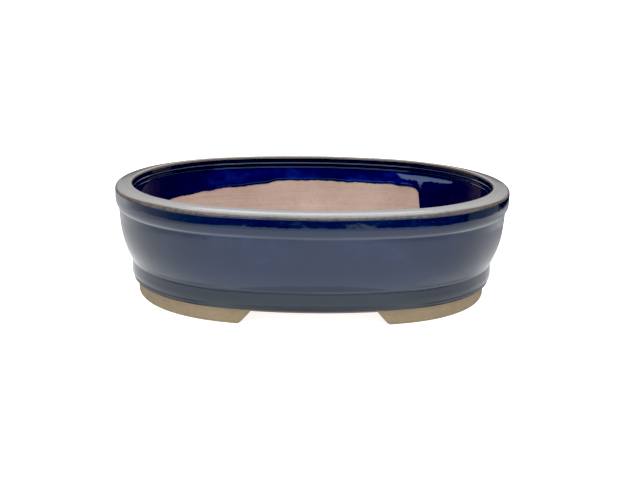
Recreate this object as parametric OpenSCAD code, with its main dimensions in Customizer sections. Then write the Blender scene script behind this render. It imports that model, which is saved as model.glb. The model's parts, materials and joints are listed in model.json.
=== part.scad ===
// Oval bonsai pot in glazed stoneware, on two long feet.
// Frame: origin under the middle of the pot, on the surface it stands on.
// X runs along the pot, -Y is its front, Z is up.
//
// The plan is a four-arc oval: two end arcs and two flatter side arcs that meet tangentially.
// Their centres and joints lie on a 7-24-25 triangle, so that every arc meets the next exactly.
// Every ring is drawn as a section of [inset, height] points and swept round that oval.
// An inset is measured inwards from the widest line of the glazed rim.

/* [Overall] */
// Length over the rim
pot_l = 260; // [254:6:272]
// Width over the rim
pot_w = 203; // [197:6:209]
// Height from the feet to the top of the rim
pot_h = 74; // [70:1:80]

/* [Rim] */
// Width of the rim across its top
rim_w = 11.5; // [11:0.1:13]
// Height of the rim, down to the groove under it
rim_h = 15.6; // [14:0.1:17]
// Height of the upright outer face of the rim
rim_face_h = 8.2; // [7:0.1:9]
// How far the underside of the rim draws in
rim_tuck = 2.1; // [1.8:0.1:2.6]
// Fall of the rim's top towards its outer edge
rim_fall = 1.2; // [0.8:0.1:1.6]
// Radius of the rim's outer top edge
rim_round = 2.3; // [1.8:0.1:2.5]
// Height of the lip's inner face, above the first ledge
lip_h = 4.6; // [4:0.1:6]
// Width of each of the two ledges inside the lip
ledge_w = 0.5; // [0.3:0.1:0.7]

/* [Wall] */
// How far the outside of the wall draws in, from the rim groove to the base band
wall_draw = 8.1; // [7.6:0.1:8.3]
// Fullness of the wall: a higher value keeps it upright further down
wall_belly = 2.2; // [1.8:0.1:2.6]
// Radius of the inward bend of the wall's inner face
bend_r = 70; // [65:1:80]
// Radius where the inside of the wall runs into the floor
fillet_r = 7; // [5:0.5:8]

/* [Base band] */
// Height of the band's top edge above the table
band_top = 24; // [23:0.1:26]
// How far the band's widest line stands out from the foot of the wall
band_out = 0.2; // [0.1:0.1:0.5]
// How far the band draws in from its widest line to its bottom edge
band_draw = 2.5; // [2.2:0.1:2.8]

/* [Floor] */
// Thickness of the floor
floor_t = 8; // [7:0.5:9]
// Diameter of the two drain holes
drain_d = 18; // [14:1:22]
// Distance between the drain holes
drain_pitch = 104; // [90:1:120]
// Diameter of the four holes for the tie wires
wire_d = 4.5; // [3.5:0.1:6]
// Distance between the tie wire holes along the pot
wire_pitch_x = 56; // [40:1:64]
// Distance between the tie wire holes across the pot
wire_pitch_y = 88; // [60:1:96]

/* [Feet] */
// Height of the feet
foot_h = 9.5; // [8:0.1:11]
// Width of a foot, from its outside to its inside
foot_w = 17; // [12:0.5:20]
// Gap between the two feet where they meet the pot
foot_gap = 76; // [60:1:90]
// How much each end of a foot leans back towards the table
foot_lean = 8; // [5:0.5:10]
// How far the outside of a foot stands back from the bottom edge of the band
foot_setback = 1.1; // [0.9:0.1:1.4]

/* [Glaze] */
// Thickness of the glaze coat
glaze_t = 0.5; // [0.4:0.1:0.6]
// Depth of the glaze inside the pot, below the top of the rim
glaze_depth = 17; // [14:0.5:24]

/* [Hidden] */

$fn = 96;
clay = "#c0a58e";
foot_clay = "#9a8264";
cobalt = "#17245c";

// plan: the arcs' centres and radii at the rim
leg = [7, 24];
end_x = (pot_l - pot_w) * leg[0] / 12;
end_r = pot_l / 2 - end_x;
side_y = end_x * leg[1] / leg[0];
side_r = side_y + pot_w / 2;

// heights
floor_top = foot_h + floor_t;
groove_z = pot_h - rim_h;
crown_z = pot_h - glaze_t;
ledge_z = pot_h - lip_h;

// how far a cutting shape reaches past what it cuts
past = 1;

// insets of the clay surfaces
face_in = glaze_t;
tuck_in = face_in + rim_tuck;
wall_foot_in = tuck_in + wall_draw;
lip_in = rim_w - glaze_t;
inner_in = lip_in + 2 * ledge_w;
band_in = wall_foot_in - band_out;
edge_in = band_in + band_draw;
slab_setback = 0.8;
slab_in = edge_in + slab_setback;
seat_w = 2.3;
seat_in = wall_foot_in + seat_w;

// Points along an arc, in equal steps
function arc(centre, r, a0, a1, steps = 8) =
    [for (i = [0:steps]) let (a = a0 + (a1 - a0) * i / steps) centre + r * [cos(a), sin(a)]];

function reversed(line) = [for (i = [len(line) - 1:-1:0]) line[i]];

// Direction of a line of points at one of them, a quarter turn to its left
function normal_at(line, i) =
    let (step = line[min(i + 1, len(line) - 1)] - line[max(i - 1, 0)])
    [-step[1], step[0]] / norm(step);

// A line of points moved sideways by the glaze thickness
function glazed(line, side) = [for (i = [0:len(line) - 1]) line[i] + side * glaze_t * normal_at(line, i)];

// ---- section lines of the clay, from the crown of the rim downwards ----

crown = [rim_w / 2, crown_z - rim_fall / 2];

// Outside of the rim: outer edge, upright face, then the rounded underside down to the groove
tuck_drop = rim_h - rim_face_h;
tuck_r = (pow(tuck_drop, 2) + pow(rim_tuck, 2)) / (2 * rim_tuck);
rim_outside = concat(
    arc([face_in + rim_round, crown_z - rim_fall - rim_round], rim_round, 87, 180),
    arc([face_in + tuck_r, pot_h - rim_face_h], tuck_r, 180, 180 + asin(tuck_drop / tuck_r)));

// Outside of the wall: a full curve from the groove under the rim in to the band
wall_steps = 16;
wall_outside = [for (i = [0:wall_steps]) let (t = i / wall_steps)
    [tuck_in + wall_draw * pow(t, wall_belly), groove_z + (band_top - groove_z) * t]];

// Outside of the base band: a shallow valley under the wall, a rounded shoulder, a face that leans
// out to the band's widest line, then a full curve in to the bottom edge
valley_w = 0.25;
valley_drop = 0.5;
bead_r = 1.2;
bead_drop = 1.9;
bead_lean = 0.3;
widest_z = foot_h + 7.5;
turn_z = foot_h + 0.8;
edge_curl = 0.4;
band_steps = 6;
band_outside = concat(
    [[wall_foot_in + valley_w, band_top - valley_drop]],
    arc([band_in + bead_lean + bead_r, band_top - bead_drop], bead_r, 150, 176, 3),
    [for (i = [0:band_steps]) let (t = i / band_steps)
        [band_in + band_draw * pow(t, 2), widest_z - (widest_z - turn_z) * t]],
    [[edge_in + edge_curl, foot_h]]);

// Inside: lip, two sloping ledges, then the wall down to the floor
lip_round = 1;
ledge_slope = 0.7;
ledge_pitch = 3;
rim_inside = concat(
    arc([lip_in - lip_round, crown_z - lip_round], lip_round, 90, 0, 6),
    [[lip_in, ledge_z],
     [lip_in + ledge_w, ledge_z - ledge_slope],
     [lip_in + ledge_w, ledge_z - ledge_pitch],
     [inner_in, ledge_z - ledge_pitch - ledge_slope]]);

bend_depth = 24;
bend_z = pot_h - bend_depth;
bend_dz = bend_z - floor_top - fillet_r;
bend_dx = sqrt(pow(bend_r - fillet_r, 2) - pow(bend_dz, 2));
bend_a = atan2(bend_dz, bend_dx);
fillet_x = inner_in + bend_r - bend_dx;
wall_inside = concat(
    arc([inner_in + bend_r, bend_z], bend_r, 180, 180 + bend_a),
    arc([fillet_x, floor_top + fillet_r], fillet_r, 180 + bend_a, 270));

// ---- sweeps round the oval plan ----

reach = 12 * leg;

// The part of the plan that an end arc fills, as seen from the middle of the pot
end_sector = [[end_x, 0], [end_x, 0] + reach, [pot_l, reach[1]], [pot_l, -reach[1]],
              [end_x + reach[0], -reach[1]]];

// The part of the plan that the back side arc fills; the front one is its mirror image
side_sector = [[0, -side_y], [reach[0], reach[1] - side_y], [-reach[0], reach[1] - side_y]];

// One arc's share of a ring: the whole circle, cut to its sector
module arc_ring(section, centre, r, sector) {
    intersection() {
        translate(centre)
            rotate_extrude()
                polygon([for (p = section) [r - round(1000 * p[0]) / 1000, round(1000 * p[1]) / 1000]]);
        translate([0, 0, -past]) linear_extrude(pot_h + 2 * past) polygon(sector);
    }
}

module oval_ring(section) {
    for (flip = [0, 1]) {
        mirror([flip, 0, 0]) arc_ring(section, [end_x, 0, 0], end_r, end_sector);
        mirror([0, flip, 0]) arc_ring(section, [0, -side_y, 0], side_r, side_sector);
    }
}

// The part of the plan between the two end sectors
waist = [[end_x, 0], [end_x, 0] + reach, [-end_x - reach[0], reach[1]],
         [-end_x, 0], [-end_x, 0] - reach, [end_x + reach[0], -reach[1]]];

// A flat plate with the oval's outline, from height z0 to z1
module oval_plate(inset, z0, z1) {
    translate([0, 0, z0]) linear_extrude(z1 - z0) {
        for (side = [-1, 1]) translate([side * end_x, 0]) circle(r = end_r - inset);
        intersection() {
            polygon(waist);
            translate([0, side_y]) circle(r = side_r - inset);
            translate([0, -side_y]) circle(r = side_r - inset);
        }
    }
}

// ---- the clay pieces ----

// Floor, with two drain holes and four holes for the wires that hold the tree
module floor_slab() {
    color(clay) difference() {
        oval_plate(slab_in, foot_h, floor_top);
        for (x = [-drain_pitch / 2, drain_pitch / 2])
            translate([x, 0, foot_h - past]) cylinder(h = floor_t + 2 * past, d = drain_d);
        for (x = [-wire_pitch_x / 2, wire_pitch_x / 2], y = [-wire_pitch_y / 2, wire_pitch_y / 2])
            translate([x, y, foot_h - past]) cylinder(h = floor_t + 2 * past, d = wire_d);
    }
}

// Wall, standing on the floor and carrying the rim
module wall() {
    color(clay) oval_ring(concat(
        wall_outside,
        [[seat_in, band_top], [slab_in, floor_top]],
        reversed(wall_inside),
        [[inner_in, groove_z]]));
}

// Rim, with its rounded underside outside and two small ledges inside
module rim() {
    color(clay) oval_ring(concat(
        rim_outside,
        [[inner_in, groove_z]],
        reversed(rim_inside)));
}

// Raised band round the bottom of the wall and the edge of the floor
module base_band() {
    color(clay) oval_ring(concat(
        [[wall_foot_in, band_top]],
        band_outside,
        [[slab_in, foot_h], [slab_in, floor_top], [seat_in, band_top]]));
}

// One long foot round the end of the pot, its two ends leaning back
module foot(side) {
    edge_r = 2.2;
    chamfer = 1;
    taper = 0.6;
    draft = 1;
    top_in = edge_in + foot_setback;
    bottom_in = top_in + taper;
    half_gap = foot_gap / 2;
    lean = past * foot_lean / foot_h;
    color(foot_clay) difference() {
        oval_ring(concat(
            [[top_in, foot_h]],
            arc([bottom_in + edge_r, edge_r], edge_r, 180, 270, 4),
            [[bottom_in + foot_w - chamfer, 0],
             [bottom_in + foot_w, chamfer],
             [bottom_in + foot_w + draft, foot_h]]));
        rotate([90, 0, 0]) linear_extrude(pot_w, center = true)
            polygon([[side * (half_gap - lean), foot_h + past],
                     [side * (half_gap + foot_lean + lean), -past],
                     [-side * pot_l, -past],
                     [-side * pot_l, foot_h + past]]);
    }
}

module foot_left() foot(-1);
module foot_right() foot(1);

// ---- the glaze ----

// Coat over the outer half of the rim, the wall and the base band
module glaze_outside() {
    line = concat([crown], rim_outside, [for (i = [1:wall_steps]) wall_outside[i]], band_outside);
    color(cobalt) oval_ring(concat(line, reversed(glazed(line, -1))));
}

// Coat over the inner half of the rim, the lip and the upper part of the inside
module glaze_inside() {
    line = concat([crown], rim_inside, [[inner_in, pot_h - glaze_depth]]);
    color(cobalt) oval_ring(concat(line, reversed(glazed(line, 1))));
}

floor_slab();
wall();
rim();
base_band();
foot_left();
foot_right();
glaze_outside();
glaze_inside();
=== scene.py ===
import json
from math import acos, atan2, ceil, cos, degrees, exp, hypot, pi, radians, sin, sqrt

import bmesh
import bpy
from mathutils import Matrix, Vector, geometry, noise


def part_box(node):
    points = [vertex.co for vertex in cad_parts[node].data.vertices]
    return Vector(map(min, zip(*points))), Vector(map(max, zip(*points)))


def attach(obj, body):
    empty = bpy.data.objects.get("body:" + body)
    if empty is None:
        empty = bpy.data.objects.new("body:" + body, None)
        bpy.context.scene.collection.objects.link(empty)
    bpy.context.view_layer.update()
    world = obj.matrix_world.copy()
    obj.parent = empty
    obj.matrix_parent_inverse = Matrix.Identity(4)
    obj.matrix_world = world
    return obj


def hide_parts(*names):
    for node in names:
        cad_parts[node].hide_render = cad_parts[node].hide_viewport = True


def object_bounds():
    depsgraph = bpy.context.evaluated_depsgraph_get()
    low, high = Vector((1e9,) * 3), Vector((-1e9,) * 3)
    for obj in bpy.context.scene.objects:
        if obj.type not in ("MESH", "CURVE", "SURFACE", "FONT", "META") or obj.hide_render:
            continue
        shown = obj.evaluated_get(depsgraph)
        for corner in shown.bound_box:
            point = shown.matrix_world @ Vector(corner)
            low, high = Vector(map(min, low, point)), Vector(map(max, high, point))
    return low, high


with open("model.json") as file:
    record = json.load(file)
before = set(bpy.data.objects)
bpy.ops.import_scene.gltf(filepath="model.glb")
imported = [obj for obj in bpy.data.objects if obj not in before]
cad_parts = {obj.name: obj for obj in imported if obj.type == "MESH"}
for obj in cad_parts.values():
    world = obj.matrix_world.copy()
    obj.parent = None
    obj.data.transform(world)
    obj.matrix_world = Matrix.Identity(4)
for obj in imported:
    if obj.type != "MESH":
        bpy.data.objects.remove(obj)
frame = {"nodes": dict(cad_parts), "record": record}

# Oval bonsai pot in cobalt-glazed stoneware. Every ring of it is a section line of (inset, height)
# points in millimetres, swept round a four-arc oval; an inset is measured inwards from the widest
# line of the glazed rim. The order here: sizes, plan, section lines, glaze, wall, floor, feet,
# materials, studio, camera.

cad_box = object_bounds()
MM = 0.001

# ---- sizes, in millimetres: the first seven are read off the CAD, and the rest are those of the CAD ----

pot_l = round(2 * cad_box[1][0] / MM)
pot_w = round(2 * cad_box[1][1] / MM)
pot_h = round(cad_box[1][2] / MM, 1)


def top_of(node):
    """Height of the top of a CAD node."""
    return round(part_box(node)[1][2] / MM, 1)


foot_h = top_of("foot_left")
floor_top = top_of("floor_slab")
band_top = top_of("base_band")
groove_z = round(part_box("rim")[0][2] / MM, 1)

GLAZE_T = 0.5

rim_w = 11.5
rim_face_h = 8.2
rim_tuck = 2.1
rim_fall = 1.2
rim_round = 2.3
lip_h = 4.6
lip_round = 1
ledge_w = 0.5
ledge_slope = 0.7
ledge_pitch = 3

wall_draw = 8.1
seat_w = 2.3
bend_r = 70
bend_depth = 24
fillet_r = 7

band_out = 0.2
band_draw = 2.5
valley_w = 0.25
valley_drop = 0.5
bead_r = 1.2
bead_drop = 1.9
bead_lean = 0.36                                # 0.06 more than the CAD's: the band's face mirrors pale floor
widest_z = foot_h + 7.5
turn_z = foot_h + 0.8
edge_curl = 0.4
slab_setback = 0.8

foot_w = 17
foot_lean = 8
foot_setback = 1.1
foot_edge_r = 2.2
foot_taper = 0.6
foot_chamfer = 1
foot_draft = 1
half_gap = 38

# ---- the oval plan ----

end_x = (pot_l - pot_w) * 7 / 12                # the arcs' centres and joints lie on a 7-24-25 triangle
end_r = pot_l / 2 - end_x
side_y = end_x * 24 / 7
side_r = side_y + pot_w / 2
joint_angle = atan2(24, 7)


def plan_angles(count):
    """Directions of the oval's outward normal, evenly spaced along its ring 10 mm inside the edge."""
    mid = 10
    end_run = (end_r - mid) * joint_angle
    quarter = end_run + (side_r - mid) * (pi / 2 - joint_angle)
    first = []
    for i in range(count // 4):
        run = quarter * 4 * i / count
        if run < end_run:
            first.append(run / (end_r - mid))
        else:
            first.append(joint_angle + (run - end_run) / (side_r - mid))
    second = [pi - a for a in reversed([*first[1:], pi / 2])]
    half = first + second
    return half + [pi + a for a in half]


def on_plan(angle, inset):
    """The point of the oval at this inset where its normal has this direction."""
    c, s = cos(angle), sin(angle)
    if 7 * abs(s) < 24 * abs(c):
        x, y = end_x + (end_r - inset) * abs(c), (end_r - inset) * abs(s)
    else:
        x, y = (side_r - inset) * abs(c), (side_r - inset) * abs(s) - side_y
    return (x if c > 0 else -x), (y if s > 0 else -y)


def inside_plan(x, y, inset):
    """Whether a point of the plan lies inside the oval at this inset."""
    x, y = abs(x), abs(y)
    if 7 * y < 24 * (x - end_x):
        return hypot(x - end_x, y) < end_r - inset
    return hypot(x, y + side_y) < side_r - inset


STATIONS = 512                                  # sections in a sweep round the whole oval
angles = plan_angles(STATIONS)


# ---- lines of (inset, height) points ----

def fractions(count):
    """Evenly spaced numbers from 0 to 1."""
    return [i / count for i in range(count + 1)]


def arc(centre_in, centre_z, r, start, end, steps=24):
    """Points of an arc, from one angle in degrees to another."""
    turns = [radians(start + (end - start) * t) for t in fractions(steps)]
    return [(centre_in + r * cos(a), centre_z + r * sin(a)) for a in turns]


def run_lengths(line):
    """How far along the line each of its points is."""
    runs = [0.0]
    for (x0, z0), (x1, z1) in zip(line, line[1:]):
        runs.append(runs[-1] + hypot(x1 - x0, z1 - z0))
    return runs


def point_at(line, runs, run):
    """The point this far along a line."""
    i = next((i for i in range(1, len(line)) if runs[i] >= run), len(line) - 1)
    (x0, z0), (x1, z1) = line[i - 1], line[i]
    span = runs[i] - runs[i - 1] or 1
    t = min(max((run - runs[i - 1]) / span, 0), 1)
    return x0 * (1 - t) + x1 * t, z0 * (1 - t) + z1 * t


def evenly(line, step):
    """The same line with its points spaced evenly, at most a step apart."""
    runs = run_lengths(line)
    return [point_at(line, runs, runs[-1] * t) for t in fractions(max(1, ceil(runs[-1] / step)))]


def softened(line, passes):
    """The line with each inner point averaged with its two neighbours."""
    for _ in range(passes):
        line = [line[0]] + [((a[0] + 2 * b[0] + c[0]) / 4, (a[1] + 2 * b[1] + c[1]) / 4)
                            for a, b, c in zip(line, line[1:], line[2:])] + [line[-1]]
    return line


def normals(line, side):
    """The unit normal at each point of a line; side is 1 or -1."""
    found = []
    for i in range(len(line)):
        a, b = line[max(i - 1, 0)], line[min(i + 1, len(line) - 1)]
        dx, dz = b[0] - a[0], b[1] - a[1]
        n = hypot(dx, dz) or 1
        found.append((-dz / n * side, dx / n * side))
    return found


def moved(line, turns, amounts):
    """A line with each point moved along its normal, by its own amount in mm."""
    return [(x + nx * w, z + nz * w) for (x, z), (nx, nz), w in zip(line, turns, amounts)]


def bulges(line, side, reach):
    """How sharply the line turns at each point, 1/mm: above zero on an outward corner."""
    found = []
    for i in range(len(line)):
        a, b, c = line[max(i - reach, 0)], line[i], line[min(i + reach, len(line) - 1)]
        u, v = (b[0] - a[0], b[1] - a[1]), (c[0] - b[0], c[1] - b[1])
        cross = u[0] * v[1] - u[1] * v[0]
        dot = u[0] * v[0] + u[1] * v[1]
        run = (hypot(*u) + hypot(*v)) / 2
        found.append(-side * atan2(cross, dot) / run if run else 0)
    return found


def between(points, at):
    """A value read off a list of (position, value) points, with eased steps."""
    for (a, value_a), (b, value_b) in zip(points, points[1:]):
        if at <= b:
            t = min(max((at - a) / (b - a), 0), 1)
            return value_a + (value_b - value_a) * t * t * (3 - 2 * t)
    return points[-1][1]


def band_of(at, middle, width):
    """1 at the middle, falling off on both sides."""
    return exp(-((at - middle) / width) ** 2)


# ---- section lines of the clay ----

crown_z = pot_h - GLAZE_T
rim_face_z = pot_h - rim_face_h
ledge_z = pot_h - lip_h
bend_z = pot_h - bend_depth

face_in = GLAZE_T
tuck_in = face_in + rim_tuck
wall_foot_in = tuck_in + wall_draw
band_in = wall_foot_in - band_out
edge_in = band_in + band_draw
slab_in = edge_in + slab_setback
seat_in = wall_foot_in + seat_w
lip_in = rim_w - GLAZE_T
inner_in = lip_in + 2 * ledge_w

crown = (rim_w / 2, crown_z - rim_fall / 2)

rim_outside = (arc(face_in + rim_round, crown_z - rim_fall - rim_round, rim_round, 87, 180)
               + [(face_in + rim_tuck * t ** 3, rim_face_z + (groove_z - rim_face_z) * t)
                  for t in fractions(30)])

# nearly straight under the rim, then an ever fuller curve in to the band
wall_outside = [(tuck_in + wall_draw * (0.25 * t + 0.75 * t ** 2.8), groove_z + (band_top - groove_z) * t)
                for t in fractions(60)]

band_outside = ([(wall_foot_in + valley_w, band_top - valley_drop)]
                + arc(band_in + bead_lean + bead_r, band_top - bead_drop, bead_r, 150, 176, 6)
                + [(band_in + band_draw * t * t, widest_z - (widest_z - turn_z) * t) for t in fractions(14)]
                + [(edge_in + edge_curl, foot_h)])

rim_inside = (arc(lip_in - lip_round, crown_z - lip_round, lip_round, 90, 0, 8)
              + [(lip_in, ledge_z),
                 (lip_in + ledge_w, ledge_z - ledge_slope),
                 (lip_in + ledge_w, ledge_z - ledge_pitch),
                 (inner_in, ledge_z - ledge_pitch - ledge_slope)])

bend_rise = bend_z - floor_top - fillet_r
bend_run = sqrt((bend_r - fillet_r) ** 2 - bend_rise ** 2)
bend_end = 180 + degrees(atan2(bend_rise, bend_run))
wall_inside = (arc(inner_in + bend_r, bend_z, bend_r, 180, bend_end, 40)
               + arc(inner_in + bend_r - bend_run, floor_top + fillet_r, fillet_r, bend_end, 270, 16))


# ---- meshes ----

def to_mesh(name, points, faces, values=None):
    """A mesh object from points in millimetres; values holds point attributes by name."""
    mesh = bpy.data.meshes.new(name)
    mesh.from_pydata([(x * MM, y * MM, z * MM) for x, y, z in points], [], faces)
    for key, numbers in (values or {}).items():
        mesh.attributes.new(key, "FLOAT", "POINT").data.foreach_set("value", numbers)
    bm = bmesh.new()
    bm.from_mesh(mesh)
    bmesh.ops.recalc_face_normals(bm, faces=bm.faces)
    bm.to_mesh(mesh)
    bm.free()
    mesh.shade_smooth()
    mesh.set_sharp_from_angle(angle=radians(38))
    obj = bpy.data.objects.new(name, mesh)
    bpy.context.scene.collection.objects.link(obj)
    return obj


def grid_faces(rows, across, closed_rows=True, closed_across=True):
    """Faces between neighbours in rows of points, the last joined to the first where closed."""
    return [(k * across + i, k * across + (i + 1) % across,
             (k + 1) % rows * across + (i + 1) % across, (k + 1) % rows * across + i)
            for k in range(rows if closed_rows else rows - 1)
            for i in range(across if closed_across else across - 1)]


def oval_sweep(name, section_at, values_at=None):
    """Closed sections, one at each angle, joined round the oval, with their point values."""
    points, values = [], {}
    for angle in angles:
        section = section_at(angle)
        points += [(*on_plan(angle, inset), z) for inset, z in section]
        for key, numbers in (values_at(angle) if values_at else {}).items():
            values.setdefault(key, []).extend(numbers)
    return to_mesh(name, points, grid_faces(STATIONS, len(section)), values)


# ---- the glaze coats ----

GLAZE_STEP = 0.25                               # length of a step along a coat's section line
GLAZE_STOP = 1.1                                # the outer glaze stops this far above the foot
SKIN = 0.04                                     # left off the glaze, as room for its unevenness
BEAD_T = 0.35                                   # extra thickness of the bead at a coat's end, and its width
BEAD_W = 0.9
inner_clay = softened(evenly([crown] + rim_inside + wall_inside, GLAZE_STEP), 2)
outer_clay = softened(evenly([crown] + rim_outside + wall_outside + band_outside, GLAZE_STEP), 2)
outer_clay = [(x, z) for x, z in outer_clay if z > foot_h + GLAZE_STOP]

# A thick run of glaze down the inside, to the right of the bare clay: its extra thickness in mm, by the
# distance in mm along the section line from the rim's crown.
RUN_ON = [(15, 0), (22, 1.35), (24, 1.2), (30, 0.1), (60, 0)]


def waviness(angle, inset, z):
    """Unevenness of the hand-made surface, in mm along its normal; no more than SKIN outwards."""
    x, y = on_plan(angle, inset)
    slow = noise.noise(Vector((x, y, z * 1.6)) / 26)
    quick = noise.noise(Vector((x + 300, y, z * 1.3)) / 9)
    return 0.13 * (slow - 0.75) + 0.03 * (quick - 0.75)


def coat(line, side, run_on=0):
    """The outer line of a coat over a line of clay, thicker in a bead near its end."""
    runs = run_lengths(line)
    thick = [GLAZE_T - SKIN + BEAD_T * band_of(runs[-1] - run, BEAD_W, BEAD_W) + run_on * between(RUN_ON, run)
             for run in runs]
    return softened(moved(line, normals(line, side), thick), 2)


BLUNT = 0.2                                     # corners blunter than this keep their glaze, 1/mm


def thinness(line, side, sharpest, depth):
    """1 where the glaze draws thin over an outward corner or just past it, no deeper than this in mm."""
    sharp = [min(max((b - BLUNT) / (sharpest - BLUNT), 0), 1) for b in bulges(line, side, 4)]
    return [max(sharp[max(i - 1, 0):i + 1]) * (z > pot_h - depth) for i, (x, z) in enumerate(line)]


def rolled_end(line, clay_end, steps=6):
    """Points that round the end of a coat over from its surface to the clay."""
    end = Vector(line[-1])
    centre = (end + Vector(clay_end)) / 2
    arm = end - centre
    along = (end - Vector(line[-3])).normalized() * arm.length
    return [tuple(centre + arm * cos(pi * t) + along * sin(pi * t)) for t in fractions(steps)[1:-1]]


outer_line = coat(outer_clay, -1)
outer_turns = normals(outer_line, -1)
outer_thin = thinness(outer_line, -1, 0.42, 6)
outer_roll = rolled_end(outer_line, outer_clay[-1])
outer_back = evenly(outer_clay, 2.5)
RIPPLE_RISES = (6.2, 3.2)                       # heights of two throwing lines above the foot
RIPPLE_WIDTH = 0.55


def ripple(angle, z):
    """Two faint throwing lines round the base band, deeper to the right of the front, in mm."""
    deep = 0.03 + 0.05 * max(0, cos(angle + radians(45)))
    return -deep * sum(band_of(z, foot_h + rise, RIPPLE_WIDTH) for rise in RIPPLE_RISES)


def outer_section(angle):
    """The outer coat's closed section: its surface, its rolled end and its back on the clay."""
    uneven = [waviness(angle, x, z) + ripple(angle, z) for x, z in outer_line]
    return moved(outer_line, outer_turns, uneven) + outer_roll + outer_back[::-1]


def outer_values(angle):
    """Point values of the outer coat: painted highlights, pale, in the groove (most at the pot's ends) and on
    the band's top.
    """
    # painted highlights, pale: a line in the groove and a fainter one along the top of the base band
    groove_highlight = between([(0, 0.4), (0.4, 0.42), (0.7, 0.85), (1, 0.85)], abs(cos(angle)))
    pale = [groove_highlight * band_of(z, groove_z, 0.6) + 0.25 * band_of(z, band_top - 0.9, 0.5)
            for x, z in outer_line]
    rest = [0] * (len(outer_roll) + len(outer_back))
    return {"thin": outer_thin + [0.6] * len(outer_roll) + [0] * len(outer_back),
            "pale": pale + rest,
            "inside": [0] * len(outer_line) + rest}


outer_coat = oval_sweep("outer_glaze_coat", outer_section, outer_values)

# The depth of the glaze inside the pot, in mm below the rim, by direction in degrees from +X.
GLAZE_LINE = [(0, 48), (30, 47), (50, 45), (55, 40), (56.2, 31), (57, 22), (58.5, 19.2), (61, 18.2), (72, 18),
              (80, 18.6), (88, 17.7), (96, 17.8), (100, 20.4), (106, 21.8), (118, 23), (132, 24.6), (150, 26),
              (166, 28.5), (180, 30), (196, 33), (203, 44), (212, 50), (240, 52), (270, 51), (300, 52),
              (325, 50), (360, 48)]

# Where that run of glaze is milky: the depth in mm of its upper edge, and of its lower edge by direction.
MILKY_TOP = 9.9
MILKY_EDGE = [(0, 0), (36, 9), (38, 12), (42, 12.9), (50, 13.4), (54, 13.8), (56, 17.2), (58, 14), (66, 13.6),
              (71, 9), (74, 0)]

BELOW_LIP = 64                                  # steps of the coat's section below the lip
lip_end_z = ledge_z - 4.2
cobalt_z = ledge_z - 3.4                        # the glaze turns from near black to cobalt below this
inner_runs = run_lengths(inner_clay)
lip_run = next(run for (x, z), run in zip(inner_clay, inner_runs) if z < lip_end_z)
lip_clay = [p for p, run in zip(inner_clay, inner_runs) if run < lip_run]


def glaze_depth(angle):
    """Depth of the inner glaze's end below the rim in this direction, with a small wobble."""
    x, y = on_plan(angle, inner_in)
    wobble = 0.7 * noise.noise(Vector((x, y, 0)) / 9) + 0.3 * noise.noise(Vector((x, y, 50)) / 3)
    return between(GLAZE_LINE, degrees(angle) % 360) + wobble


def inner_clay_at(angle):
    """The clay line under the inner coat, down to the glaze line in this direction."""
    end_z = pot_h - glaze_depth(angle)
    end_run = next(run for (x, z), run in zip(inner_clay, inner_runs) if z <= end_z)
    return lip_clay + [point_at(inner_clay, inner_runs, lip_run + (end_run - lip_run) * t)
                       for t in fractions(BELOW_LIP)]


def inner_section(angle):
    """The inner coat's closed section, down to the glaze line in this direction."""
    clay_line = inner_clay_at(angle)
    x, y = on_plan(angle, inner_in)
    run_on = between([(-180, 0), (22, 0), (40, 1), (66, 0.9), (74, 0)], degrees(angle))
    run_on *= 0.75 + 0.6 * noise.noise(Vector((x, y, 20)) / 7)
    line = coat(clay_line, 1, run_on)
    front = moved(line, normals(line, 1), [waviness(angle, x, z) for x, z in line])
    return front + rolled_end(front, clay_line[-1]) + clay_line[::-4]


def inside_value(inset, z):
    """Which of its colours the glaze has: 0 on the rim's outer half, 0.5 on the lip, 1 below the ledges."""
    if z > cobalt_z:
        return between([(6, 0), (9, 0.5), (100, 0.5)], inset)
    return between([(0, 0.5), (1.2, 1), (100, 1)], cobalt_z - z)


def milk_and_highlights(angle, z):
    """How pale the inner glaze is, 0 to 1: painted highlight lines at the ledges' edges, and the run of glaze
    gone milk white.
    """
    x, y = on_plan(angle, inner_in)
    rough = 0.9 * noise.noise(Vector((x, y, z * 0.4)) / 2.5)
    depth = pot_h - z
    room = min(depth - MILKY_TOP - rough * 0.4, between(MILKY_EDGE, degrees(angle) % 360) + rough - depth)
    milky_run = between([(0, 0), (0.5, 1), (100, 1)], room)
    # painted highlights: pale lines at the edges of the lip's two ledges
    ledges = 0.5 * band_of(z, ledge_z - 0.2, 0.3) + 0.2 * band_of(z, ledge_z - 3.2, 0.3)
    return max(ledges, 0.8 * milky_run)


inner_sample = coat(inner_clay_at(pi / 2), 1)
inner_thin = thinness(inner_sample, 1, 0.5, 3)
inner_colours = [inside_value(x, z) for x, z in inner_sample]
inner_rest = len(inner_section(0)) - len(inner_sample)


def inner_values(angle):
    """Point values of the inner coat; its pale marks follow the coat's height in each direction."""
    heights = [z for x, z in coat(inner_clay_at(angle), 1)]
    return {"thin": inner_thin + [0] * inner_rest,
            "inside": inner_colours + [1] * inner_rest,
            "pale": [milk_and_highlights(angle, z) for z in heights] + [0] * inner_rest}


inner_coat = oval_sweep("inner_glaze_coat", inner_section, inner_values)

# ---- the clay wall ----

wall_back = evenly(wall_outside + [(seat_in, band_top), (slab_in, floor_top)], 3)
wall_front = evenly(wall_inside[::-1] + [(inner_in, groove_z)], 0.8)
wall_turns = normals(wall_front, 1)


def wall_section(angle):
    """The wall, its inner face ridged by throwing; the ridges fade out at both of its ends."""
    x, y = on_plan(angle, inner_in)
    ridges = []
    for i, (inset, z) in enumerate(wall_front):
        ease = min(1, min(i, len(wall_front) - 1 - i) / 6)
        thrown = 0.10 * noise.noise(Vector((x / 60, y / 60, z / 2.4)))
        ridges.append(-ease * (thrown + 0.12 * noise.noise(Vector((x, y, z)) / 18)))
    return wall_back + moved(wall_front, wall_turns, ridges)


clay_wall = oval_sweep("clay_wall", wall_section)

# ---- the floor, with its drain and tie wire holes ----

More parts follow.
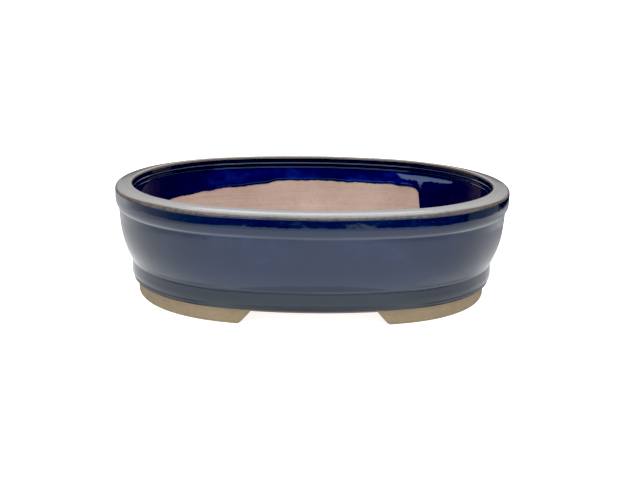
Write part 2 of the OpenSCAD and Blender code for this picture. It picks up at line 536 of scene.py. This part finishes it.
HOLE_ROUND = 0.8                                # radius of the worn edges of the holes
GRID_PITCH = 3.6                                # spacing of the floor's inner points
HOLES = [(mount["pos_m"][0] / MM, mount["pos_m"][1] / MM, mount["dims"]["r_mm"])
         for mount in frame["record"]["mounts"] if mount["kind"] == "bore"]


def circle_points(x, y, r, count):
    """Points evenly spaced round a circle."""
    turns = [2 * pi * i / count for i in range(count)]
    return [(x + r * cos(a), y + r * sin(a)) for a in turns]


def floor_points():
    """Points of the floor's plan, the edges that bound it, and its closed rings of point numbers."""
    points, edges = [], []

    def ring(new_points):
        first, count = len(points), len(new_points)
        points.extend(new_points)
        edges.extend((first + i, first + (i + 1) % count) for i in range(count))
        return list(range(first, first + count))

    outline = ring([on_plan(angle, slab_in) for angle in angles[::2]])
    outline_points = points[:]
    bores = []
    for x, y, r in HOLES:
        rings = [ring(circle_points(x, y, r + grow * HOLE_ROUND, 64 if r > 5 else 28))
                 for grow in (4.0, 2.0, 1.0, 0.62, 0.3, 0.08, 0.0)]
        bores.append(rings[-1])
    for row in range(-25, 26):
        for column in range(-36, 37):
            x, y = (column + row % 2 / 2) * GRID_PITCH, row * GRID_PITCH * sin(pi / 3)
            clear = all(hypot(x - hx, y - hy) > r + 5.5 * HOLE_ROUND for hx, hy, r in HOLES)
            to_edge = min(hypot(x - px, y - py) for px, py in outline_points)
            if clear and to_edge > 2.5 and inside_plan(x, y, slab_in):
                points.append((x, y))
    return points, edges, outline, bores


def floor_dip(x, y, seed):
    """Unevenness of a face of the floor, in mm: slow hollows, and edges rounded over at the holes."""
    edge = min(1, max(0, 1 - hypot(x / (pot_l / 2 - slab_in - 8), y / (pot_w / 2 - slab_in - 8))) * 6)
    slow = 0.5 + 0.5 * noise.noise(Vector((x, y, seed)) / 30)
    dip = 0.35 * slow * edge
    for hole_x, hole_y, r in HOLES:
        away = hypot(x - hole_x, y - hole_y) - r
        if away < HOLE_ROUND:
            side = 1 - max(away, 0) / HOLE_ROUND
            dip = max(dip, HOLE_ROUND * (1 - sqrt(max(0, 1 - side * side))))
    return dip


def floor_piece():
    """The floor: triangles over its plan, above and below, and faces down its edge and round each hole."""
    points, edges, outline, bores = floor_points()
    plan, _, faces, origins, _, _ = geometry.delaunay_2d_cdt([Vector(p) for p in points], edges, [], 0, 1e-5)
    at = {source: i for i, sources in enumerate(origins) for source in sources}
    top_faces = []
    for face in faces:
        x, y = sum(plan[i].x for i in face) / 3, sum(plan[i].y for i in face) / 3
        solid = all(hypot(x - hx, y - hy) > r * 0.999 for hx, hy, r in HOLES)
        if solid and inside_plan(x, y, slab_in):
            top_faces.append(tuple(face))
    n = len(plan)
    top = [(p.x, p.y, floor_top - floor_dip(p.x, p.y, 0)) for p in plan]
    base = [(p.x, p.y, foot_h + floor_dip(p.x, p.y, 90) * 0.6) for p in plan]
    all_faces = top_faces + [tuple(n + i for i in reversed(face)) for face in top_faces]
    for loop in [outline, *bores]:
        ring = [at[i] for i in loop]
        all_faces += [(a, b, n + b, n + a) for a, b in zip(ring, ring[1:] + ring[:1])]
    return to_mesh("clay_floor", top + base, all_faces)


clay_floor = floor_piece()

# ---- the two long feet ----

FOOT_END_R = 1.6                                # rounding of a foot's two ends
foot_top_in = edge_in + foot_setback
foot_low_in = foot_top_in + foot_taper
foot_back_in = foot_low_in + foot_w
foot_mid = (foot_top_in + foot_w / 2, foot_h / 2)
foot_ring = (evenly([(foot_top_in, foot_h), (foot_low_in, foot_edge_r)], 0.9)[:-1]
             + arc(foot_low_in + foot_edge_r, foot_edge_r, foot_edge_r, 180, 270, 8)
             + evenly([(foot_top_in + 4, 0), (foot_back_in - foot_chamfer, 0), (foot_back_in, foot_chamfer),
                       (foot_back_in + foot_draft, foot_h)], 1.1)
             + evenly([(foot_back_in, foot_h), (foot_top_in + 1, foot_h)], 1.6))


def foot_piece(name, side):
    """A foot round one end of the pot; its two ends lean back and are rounded over."""
    turns = [pi / 2 * i / 9 for i in range(9)]
    stations = ([(-1, a) for a in turns] + [(2 * t - 1, pi / 2) for t in fractions(90)]
                + [(1, a) for a in reversed(turns)])
    points = []
    for run, turn in stations:
        shrink = FOOT_END_R * (1 - sin(turn))
        back = FOOT_END_R * (1 - cos(turn))
        for inset, z in foot_ring:
            pinch = shrink / (foot_h / 2) * (1 if z > foot_mid[1] else 0.45)
            inset += (foot_mid[0] - inset) * shrink / (foot_w / 2)
            z += (foot_mid[1] - z) * pinch
            end_plane = half_gap + foot_lean * (foot_h - z) / foot_h + back
            angle = run * acos(end_plane / (side_r - inset))
            x, y = on_plan(angle, inset)
            worn = 0.5 < z < foot_h - 1
            wear = 0.18 * (0.6 + noise.noise(Vector((x, y * side, z)) / 11)) if worn else 0
            x, y = on_plan(angle, inset + (wear if inset < foot_mid[0] else -wear))
            points.append((side * x, side * y, z))
    n, rows = len(foot_ring), len(stations)
    ends = [tuple(range(n)), tuple(range((rows - 1) * n, rows * n))]
    return to_mesh(name, points, grid_faces(rows, n, closed_rows=False) + ends)


clay_foot_left = foot_piece("clay_foot_left", -1)
clay_foot_right = foot_piece("clay_foot_right", 1)


# ---- helpers for materials; a value is a node's output or a plain number or colour ----

def feed(socket, value):
    """Link an output to a socket, or set the socket's own value."""
    if hasattr(value, "is_output"):
        socket.id_data.links.new(value, socket)
    else:
        socket.default_value = value


def node_adder(tree):
    """A function that adds a node to this tree, with its settings and inputs."""
    def add(kind, settings=None, **inputs):
        node = tree.nodes.new("ShaderNode" + kind)
        for key, value in (settings or {}).items():
            setattr(node, key, value)
        for key, value in inputs.items():
            feed(node.inputs[key], value)
        return node
    return add


def new_material(name):
    """A material, the function that adds nodes to it, and one that sets its shader's inputs."""
    material = bpy.data.materials.new(name)
    material.use_nodes = True
    shader = material.node_tree.nodes["Principled BSDF"]

    def surface(key, value):
        feed(shader.inputs[key], value)

    return material, node_adder(material.node_tree), surface


def ramp(add, source, stops):
    """A tone or colour read off (position, tone or colour) stops."""
    node = add("ValToRGB", Fac=source)
    elements = node.color_ramp.elements
    while len(elements) < len(stops):
        elements.new(0.5)
    for element, (position, colour) in zip(elements, stops):
        element.position = position
        element.color = (*colour, 1) if isinstance(colour, tuple) else (colour, colour, colour, 1)
    return node.outputs["Color"]


def mix(add, amount, first, second, kind="MIX"):
    """The first colour turning into the second as the amount goes from 0 to 1."""
    node = add("MixRGB", {"blend_type": kind}, Fac=amount)
    for key, colour in (("Color1", first), ("Color2", second)):
        feed(node.inputs[key], (*colour, 1) if isinstance(colour, tuple) else colour)
    return node.outputs["Color"]


def maths(add, kind, a, b):
    """The result of a sum with one or two values; the kind is Blender's name for it."""
    node = add("Math", {"operation": kind})
    for socket, value in zip(node.inputs, (a, b)):
        feed(socket, value)
    return node.outputs["Value"]


def cloudy(add, place, scale, detail, roughness=0.5):
    """Soft noise between 0 and 1; the scale is in patches a metre."""
    noise_node = add("TexNoise", Vector=place, Scale=scale, Detail=detail, Roughness=roughness)
    return noise_node.outputs["Fac"]


def stretched(add, place, scale):
    """The place scaled along each axis, which squeezes the noise read there."""
    return add("Mapping", Vector=place, Scale=scale).outputs["Vector"]


def bumped(add, height, strength, distance, **base):
    """A normal roughened by a height; the distance is in metres, and base may hold a Normal to start from."""
    bump = add("Bump", Height=height, Strength=strength, Distance=distance, **base)
    return bump.outputs["Normal"]


# ---- the materials ----

def glaze_material(name, gloss, gloss_below=None):
    """Cobalt glaze, its depth and colour led by the coats' point values thin, inside and pale."""
    material, add, surface = new_material(name)
    place = add("TexCoord").outputs["Object"]
    thin, inside, pale = [add("Attribute", {"attribute_name": key}).outputs["Fac"]
                          for key in ("thin", "inside", "pale")]
    cloud = cloudy(add, stretched(add, place, (1, 1, 1.6)), 46.0, 5.0, 0.6)
    fine = cloudy(add, place, 420.0, 4.0, 0.65)
    wide = cloudy(add, place, 17.0, 3.0)
    position = add("SeparateXYZ", Vector=place)

    # near-black navy outside, with painted shade: darker on the base band and towards the pot's ends
    shade_at_ends = ramp(add, maths(add, "ABSOLUTE", position.outputs["X"], 0.0), [(0.055, 0.0), (0.1, 1.0)])
    shade_on_band = ramp(add, position.outputs["Z"], [(0.022, 0.8), (0.026, 0.0)])
    navy = ramp(add, cloud, [(0.3, (0.001, 0.004, 0.022)),
                             (0.55, (0.0015, 0.0058, 0.03)),
                             (0.75, (0.005, 0.011, 0.042))])
    painted_shade = maths(add, "MAXIMUM", shade_on_band, maths(add, "MULTIPLY", shade_at_ends, 0.5))
    navy = mix(add, painted_shade, navy, (0.0015, 0.003, 0.006))

    # near black on the lip, cobalt below it
    cobalt = ramp(add, cloud, [(0.3, (0.0004, 0.004, 0.028)),
                               (0.52, (0.0008, 0.0065, 0.055)),
                               (0.7, (0.003, 0.014, 0.145))])
    # painted shade: the cobalt inside darkens towards the pot's ends
    cobalt = mix(add, shade_at_ends, cobalt, (0.0003, 0.0008, 0.022))
    body = mix(add, ramp(add, inside, [(0.0, 0.0), (0.5, 1.0)]), navy, (0.0005, 0.0014, 0.010))
    body = mix(add, ramp(add, inside, [(0.5, 0.0), (1.0, 1.0)]), body, cobalt)

    # pale where the glaze inside has run thick and gone milk white, and in painted highlight lines: the
    # groove, the band's top and the ledges' edges
    pale_tone = ramp(add, wide, [(0.35, (0.02, 0.024, 0.03)), (0.65, (0.10, 0.11, 0.125))])
    pale_tone = mix(add, inside, pale_tone, (0.08, 0.105, 0.185))
    body = mix(add, pale, body, pale_tone)

    # brown where it breaks over an edge, and partly brown on surfaces that face straight up, such as the flat
    # top of the rim
    grain = maths(add, "MULTIPLY", maths(add, "SUBTRACT", fine, 0.5), 1.1)
    broken = ramp(add, maths(add, "ADD", thin, grain), [(0.35, 0.0), (0.75, 1.0)])
    up = add("SeparateXYZ", Vector=add("TexCoord").outputs["Normal"]).outputs["Z"]
    brown_share = maths(add, "MAXIMUM", broken, ramp(add, up, [(0.90, 0.0), (0.97, 0.45)]))
    brown = ramp(add, wide, [(0.35, (0.052, 0.043, 0.035)), (0.65, (0.1, 0.078, 0.061))])
    surface("Base Color", mix(add, maths(add, "MULTIPLY", brown_share, 0.9), body, brown))

    smooth = ramp(add, wide, [(0.3, 0.05), (0.7, 0.10)])
    surface("Roughness", maths(add, "ADD", smooth, maths(add, "MULTIPLY", brown_share, 0.12)))
    surface("IOR", 1.5)
    surface("Specular Tint", (0.94, 1.0, 1.0, 1))
    if gloss_below:
        surface("Specular IOR Level", ramp(add, inside, [(0.5, gloss), (1.0, gloss_below)]))
    else:
        surface("Specular IOR Level", gloss)

    peel = bumped(add, cloudy(add, place, 190.0, 2.0), 0.10, 0.0006)
    pits = add("TexVoronoi", Vector=place, Scale=260.0).outputs["Distance"]
    surface("Normal", bumped(add, ramp(add, pits, [(0.0, 0.0), (0.09, 1.0)]), 0.12, 0.0003, Normal=peel))
    return material


def clay_material(name, dark, light, toast, streak=1.0):
    """Bare stoneware: clouded from dark to light, streaked by throwing, grainy and specked with iron."""
    material, add, surface = new_material(name)
    place = add("TexCoord").outputs["Object"]
    streaks = cloudy(add, stretched(add, place, (22, 22, 900)), 1.0, 5.0, 0.6)
    cloud = cloudy(add, place, 38.0, 6.0, 0.62)
    grain = cloudy(add, place, 900.0, 6.0, 0.7)
    specks = add("TexVoronoi", Vector=place, Scale=210.0)

    colour = ramp(add, cloud, [(0.3, dark), (0.7, light)])
    toasted = maths(add, "MULTIPLY", ramp(add, streaks, [(0.35, 0.0), (0.7, 1.0)]), 0.35 * streak)
    colour = mix(add, toasted, colour, toast)
    colour = mix(add, 0.35, colour, ramp(add, grain, [(0.3, 0.35), (0.7, 0.75)]), "OVERLAY")
    dot = ramp(add, specks.outputs["Distance"], [(0.06, 1.0), (0.13, 0.0)])
    some = ramp(add, specks.outputs["Color"], [(0.8, 0.0), (0.84, 1.0)])
    iron = maths(add, "MULTIPLY", maths(add, "MULTIPLY", dot, some), 0.75)
    surface("Base Color", mix(add, iron, colour, (0.05, 0.032, 0.022)))
    surface("Roughness", 0.88)

    ridged = bumped(add, streaks, 0.35 * streak, 0.0003)
    surface("Normal", bumped(add, grain, 0.5, 0.0003, Normal=ridged))
    return material


outer_glaze = glaze_material("outer_glaze", 0.5)
inner_glaze = glaze_material("inner_glaze", 0.4, 0.14)
body_clay = clay_material("body_clay", (0.305, 0.212, 0.17), (0.39, 0.283, 0.237), (0.43, 0.34, 0.295))
foot_clay = clay_material("foot_clay", (0.135, 0.098, 0.053), (0.185, 0.14, 0.083), (0.235, 0.185, 0.12), 0.5)


def finish_piece(obj, material, node):
    """Give a piece its material, attach it to the root body, and hide the CAD node it stands for."""
    obj.data.materials.append(material)
    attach(obj, "root")
    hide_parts(node)


finish_piece(outer_coat, outer_glaze, "glaze_outside")
finish_piece(inner_coat, inner_glaze, "glaze_inside")
finish_piece(clay_wall, body_clay, "wall")
finish_piece(clay_floor, body_clay, "floor_slab")
finish_piece(clay_foot_left, foot_clay, "foot_left")
finish_piece(clay_foot_right, foot_clay, "foot_right")
for node, material in (("rim", body_clay), ("base_band", foot_clay)):
    for place in frame["nodes"][node].material_slots:
        place.material = material


# ---- the studio: a pale floor, and what the glaze mirrors ----

def studio_piece(name, points, faces):
    """A matt piece of the studio, with its material's two functions."""
    mesh = bpy.data.meshes.new(name)
    mesh.from_pydata(points, [], faces)
    obj = bpy.data.objects.new(name, mesh)
    bpy.context.scene.collection.objects.link(obj)
    material, add, surface = new_material(name)
    surface("Roughness", 0.9)
    surface("Specular IOR Level", 0.0)
    mesh.materials.append(material)
    return obj, add, surface


def studio_floor():
    """A plain pale floor that glows a little, so that it photographs nearly white."""
    corners = [(-4, -4, 0), (4, -4, 0), (4, 4, 0), (-4, 4, 0)]
    obj, add, surface = studio_piece("studio_floor", corners, [(0, 1, 2, 3)])
    tone = cloudy(add, add("TexCoord").outputs["Object"], 3.0, 3.0)
    surface("Base Color", ramp(add, tone, [(0.3, 0.4925), (0.7, 0.5)]))
    surface("Emission Color", (1, 1, 1, 1))
    surface("Emission Strength", 0.8)


def mirrored_card(name, points, faces, glow):
    """A glowing card seen only in reflections, with its material's two functions."""
    obj, add, surface = studio_piece(name, points, faces)
    surface("Base Color", (0, 0, 0, 1))
    surface("Emission Strength", glow)
    obj.visible_camera = obj.visible_diffuse = obj.visible_shadow = False
    obj.visible_transmission = obj.visible_volume_scatter = False
    return obj, add, surface


def by_direction(add, coords, tones):
    """A tone read off a list of (direction in degrees from +X, tone) points."""
    split = add("SeparateXYZ", Vector=coords)
    angle = maths(add, "ARCTAN2", split.outputs["Y"], split.outputs["X"])
    turn = maths(add, "ADD", maths(add, "DIVIDE", angle, 2 * pi), 0.5)
    return ramp(add, turn, [((a + 180) / 360, tone) for a, tone in tones])


# The floor's tone in reflections, by direction in degrees from +X, in zones from the pot outwards.
# In front, the wall and the band's underside mirror the close and near zones, the band's face and the top
# of the rim's tucked underside the tuck zone, and the rim's upright face the far zone, which is dark there.
FLOOR_GLOW = 2.0
CLOSE_TONES = [(-180, 0.45), (-162, 0.7), (-150, 0.95), (-130, 1.0), (-50, 1.0), (-35, 0.95), (-20, 0.6),
               (0, 0.4), (180, 0.45)]
NEAR_TONES = [(-180, 0.75), (-165, 0.85), (-150, 0.92), (-125, 0.97), (-60, 1.0), (-45, 0.9), (-30, 0.8),
              (-6, 0.7), (12, 0.5), (33, 0.24), (60, 0.2), (125, 0.28), (147, 0.45), (168, 0.65), (180, 0.75)]
TUCK_TONES = [(-180, 0.7), (-165, 0.62), (-150, 0.64), (-125, 0.68), (-60, 0.7), (-45, 0.65), (-6, 0.7),
              (12, 0.7), (22, 0.6), (40, 0.25), (60, 0.14), (125, 0.25), (147, 0.55), (168, 0.7), (180, 0.7)]
FAR_TONES = [(-180, 0.32), (-167, 0.27), (-149, 0.11), (-132, 0.0), (-15.5, 0.0), (-15, 0.15), (20.5, 0.15),
             (21, 0.0), (118, 0.0), (140, 0.42), (156, 0.75), (168, 0.45), (180, 0.32)]
OUTER_TONES = [(-180, 0.4), (-150, 1.0), (-30, 1.0), (0, 0.4), (30, 0.08), (150, 0.08), (180, 0.4)]

# How much further out the far zone starts, in metres, by direction: more towards the ends and the back.
FAR_SHIFT = [(-180, 0.025), (-173, 0.02), (-155, 0.0), (-30, 0.0), (-17, 0.01), (1, 0.013), (17, 0.02),
             (60, 0.02), (150, 0.03), (171, 0.03), (180, 0.025)]

RING_Z = 0.0006                                 # heights of the mirrored cards above the floor, in metres
SHADOW_Z = 0.0009


def reflected_ring():
    """The floor round the pot as the glaze mirrors it; each zone fades in between two radii in metres."""
    steps = 180
    points = [(x, y, RING_Z) for r in (0.106, 4.0) for x, y in circle_points(0, 0, r, steps)]
    faces = grid_faces(2, steps, closed_rows=False)
    obj, add, surface = mirrored_card("reflected_ring", points, faces, FLOOR_GLOW)
    coords = add("TexCoord").outputs["Object"]
    radius = add("VectorMath", {"operation": "LENGTH"}, Vector=coords).outputs["Value"]
    shifted = maths(add, "SUBTRACT", radius, by_direction(add, coords, FAR_SHIFT))
    tone = by_direction(add, coords, CLOSE_TONES)
    for distance, start, end, tones in ((radius, 0.124, 0.142, NEAR_TONES),
                                        (radius, 0.25, 0.262, TUCK_TONES),
                                        (shifted, 0.338, 0.35, FAR_TONES),
                                        (radius, 0.48, 0.52, OUTER_TONES)):
        zone = ramp(add, distance, [(start, 0.0), (end, 1.0)])
        tone = mix(add, zone, tone, by_direction(add, coords, tones))
    surface("Emission Color", tone)


# The shadow round a foot: its darkness by inset in mm, and how much of the glow it takes away.
SHADOW_ROWS = ((16, 1.0), (6, 1.0), (0, 0.0))
SHADOW_DEPTH = 0.7


def foot_shadow(name, side):
    """The shadow on the floor close round a foot, as the glaze mirrors it."""
    steps, half_turn = 90, radians(72)
    turns = [half_turn * (2 * t - 1) for t in fractions(steps)]
    points, fade = [], []
    for inset, dark in SHADOW_ROWS:
        places = [on_plan(angle, inset) for angle in turns]
        points += [(side * x * MM, y * MM, SHADOW_Z) for x, y in places]
        fade += [dark * min(1, 5 * (1 - abs(angle) / half_turn)) for angle in turns]
    faces = grid_faces(len(SHADOW_ROWS), steps + 1, closed_rows=False, closed_across=False)
    obj, add, surface = mirrored_card(name, points, faces, 0.0)
    obj.data.attributes.new("fade", "FLOAT", "POINT").data.foreach_set("value", fade)
    depth = add("Attribute", {"attribute_name": "fade"}).outputs["Fac"]
    surface("Alpha", maths(add, "MULTIPLY", depth, SHADOW_DEPTH))


def mirrored_screen(name, points, faces, glow):
    """A plain screen or light, a little uneven, seen only in reflections."""
    obj, add, surface = mirrored_card(name, points, faces, glow)
    tone = cloudy(add, add("TexCoord").outputs["Object"], 1.2, 2.0)
    surface("Emission Color", ramp(add, tone, [(0.3, 0.8), (0.7, 1.0)]))


def curved_strip(name, radius, directions, heights, glow, steps=60):
    """An upright screen bent round the pot; directions in degrees from +X, heights in metres."""
    start, end = directions
    turns = [radians(start + (end - start) * t) for t in fractions(steps)]
    points = [(radius * cos(a), radius * sin(a), h) for h in heights for a in turns]
    faces = grid_faces(2, steps + 1, closed_rows=False, closed_across=False)
    mirrored_screen(name, points, faces, glow)


studio_floor()
reflected_ring()
foot_shadow("foot_shadow_left", -1)
foot_shadow("foot_shadow_right", 1)
curved_strip("dark_screen", 1.6, (-220, 40), (0.12, 2.0), 0.04)
curved_strip("long_window", 1.5, (-140, -40), (0.56, 0.95), 3.0)
box_corners = [(-1, -1.9, 2.4), (1, -1.9, 2.4), (1, 3.4, 2.4), (-1, 3.4, 2.4)]
mirrored_screen("soft_box", box_corners, [(0, 1, 2, 3)], 6.0)

# The sky's brightness by the sine of the elevation, behind the pot and in front of it.
SKY_TOP = 2.6
SKY_BEHIND = [(0.0, 0.1), (0.07, 0.28), (0.156, 0.85), (0.26, 1.2), (0.375, 1.8), (0.46, 2.5), (1.0, 2.6)]
SKY_FRONT = [(0.0, 1.6), (0.3, 2.4), (1.0, 2.6)]


def studio_light():
    """A sky that is dark low down behind the pot, and a plain pale backdrop for the camera."""
    world = bpy.data.worlds.new("studio_light")
    bpy.context.scene.world = world
    world.use_nodes = True
    background = world.node_tree.nodes["Background"]
    add = node_adder(world.node_tree)
    split = add("SeparateXYZ", Vector=add("TexCoord").outputs["Generated"])
    tones = [ramp(add, split.outputs["Z"], [(at, tone / SKY_TOP) for at, tone in sky])
             for sky in (SKY_BEHIND, SKY_FRONT)]
    frontness = add("MapRange", Value=split.outputs["Y"], **{"From Min": 0.35, "From Max": -0.35})
    tone = mix(add, frontness.outputs["Result"], *tones)
    # the camera sees a backdrop as pale as the floor; only light and reflections see the sky
    seen = add("LightPath").outputs["Is Camera Ray"]
    feed(background.inputs["Color"], mix(add, seen, tone, (1 / SKY_TOP,) * 3))
    feed(background.inputs["Strength"], SKY_TOP)


studio_light()

view = bpy.context.scene.view_settings
view.view_transform = "Standard"
view.use_curve_mapping = True
view.curve_mapping.black_level = (0.012, 0.010, 0.006)
view.curve_mapping.update()

# ---- the camera: distance in metres, angles in degrees, focal length and shift in widths of the image ----

CAMERA_DISTANCE = 0.775
CAMERA_ELEVATION = radians(13.87)
CAMERA_YAW = radians(1.5)
CAMERA_ROLL = radians(0.93)
FOCAL_WIDTHS = 1.848
SHIFT_X = 0.00096
SHIFT_Y = -0.00704
SENSOR_MM = 36

lens = bpy.data.cameras.new("camera")
lens.sensor_width = SENSOR_MM
lens.lens = FOCAL_WIDTHS * SENSOR_MM
lens.shift_x = SHIFT_X
lens.shift_y = SHIFT_Y
camera = bpy.data.objects.new("camera", lens)
bpy.context.scene.collection.objects.link(camera)
aim = Vector((0, 0, pot_h / 2 * MM))
away = Vector((-sin(CAMERA_YAW) * cos(CAMERA_ELEVATION), -cos(CAMERA_YAW) * cos(CAMERA_ELEVATION),
               sin(CAMERA_ELEVATION)))
turn = away.to_track_quat("Z", "Y").to_matrix().to_4x4() @ Matrix.Rotation(CAMERA_ROLL, 4, "Z")
camera.matrix_world = Matrix.Translation(aim + away * CAMERA_DISTANCE) @ turn
bpy.context.scene.camera = camera
